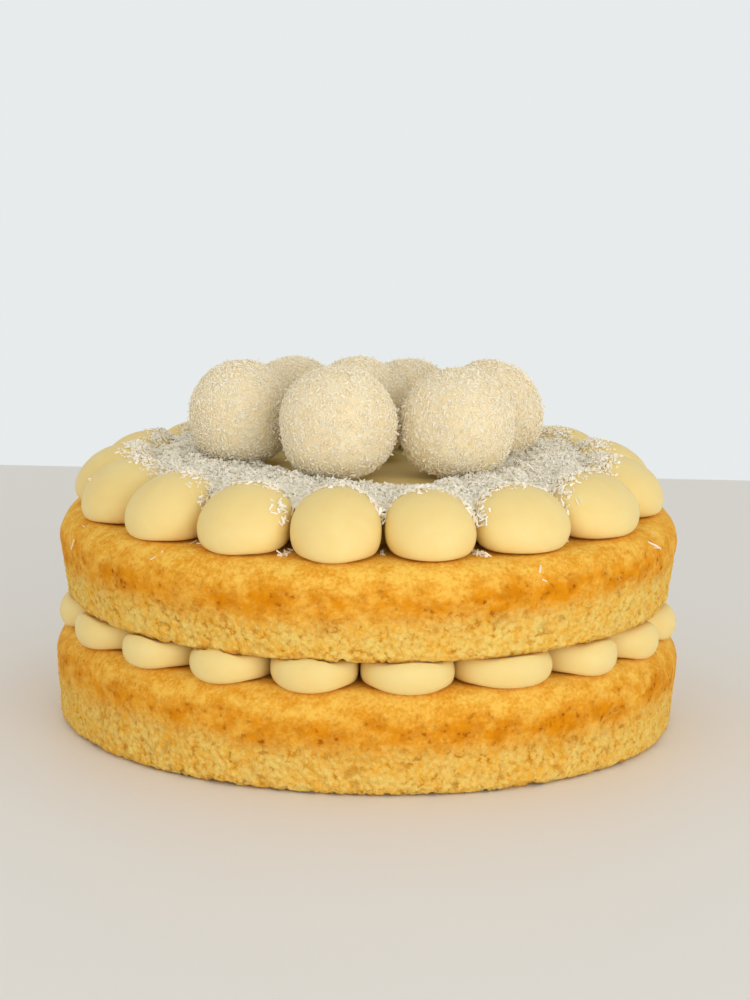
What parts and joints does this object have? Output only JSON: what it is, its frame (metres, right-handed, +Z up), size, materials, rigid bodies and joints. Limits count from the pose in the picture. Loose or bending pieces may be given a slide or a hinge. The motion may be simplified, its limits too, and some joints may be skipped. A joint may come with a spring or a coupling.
{
  "type": "layer cake",
  "caption": "Round yellow layer cake with piped frosting rounds between its sponges and round the top, and coconut-coated balls in a ring of desiccated coconut.",
  "frame": {"origin": "middle of the lower sponge's underside", "axes": "+Z up through the middle of the cake, -Y towards the front, +X to the right as seen from the front"},
  "size_m": [0.2, 0.2, 0.1144],
  "materials": {
    "sponge": "baked yellow sponge, matt and porous",
    "frosting": "smooth pale yellow butter frosting, satin",
    "coconut": "desiccated coconut, matt and granular"
  },
  "bodies": {
    "root": {"sponge_lower": "sponge", "sponge_upper": "sponge", "filling_frosting": "frosting", "filling_round_01": "frosting", "filling_round_02": "frosting", "filling_round_03": "frosting", "filling_round_04": "frosting", "filling_round_05": "frosting", "filling_round_06": "frosting", "filling_round_07": "frosting", "filling_round_08": "frosting", "filling_round_09": "frosting", "filling_round_10": "frosting", "filling_round_11": "frosting", "filling_round_12": "frosting", "filling_round_13": "frosting", "filling_round_14": "frosting", "filling_round_15": "frosting", "filling_round_16": "frosting", "filling_round_17": "frosting", "filling_round_18": "frosting", "filling_round_19": "frosting", "filling_round_20": "frosting", "top_frosting": "frosting", "top_round_01": "frosting", "top_round_02": "frosting", "top_round_03": "frosting", "top_round_04": "frosting", "top_round_05": "frosting", "top_round_06": "frosting", "top_round_07": "frosting", "top_round_08": "frosting", "top_round_09": "frosting", "top_round_10": "frosting", "top_round_11": "frosting", "top_round_12": "frosting", "top_round_13": "frosting", "top_round_14": "frosting", "top_round_15": "frosting", "top_round_16": "frosting", "top_round_17": "frosting", "coconut_ring": "coconut", "ball_left": "coconut", "ball_front_left": "coconut", "ball_front_right": "coconut", "ball_right": "coconut", "ball_rear_left": "coconut", "ball_middle": "coconut", "ball_rear_right": "coconut"}
  },
  "joints": []
}
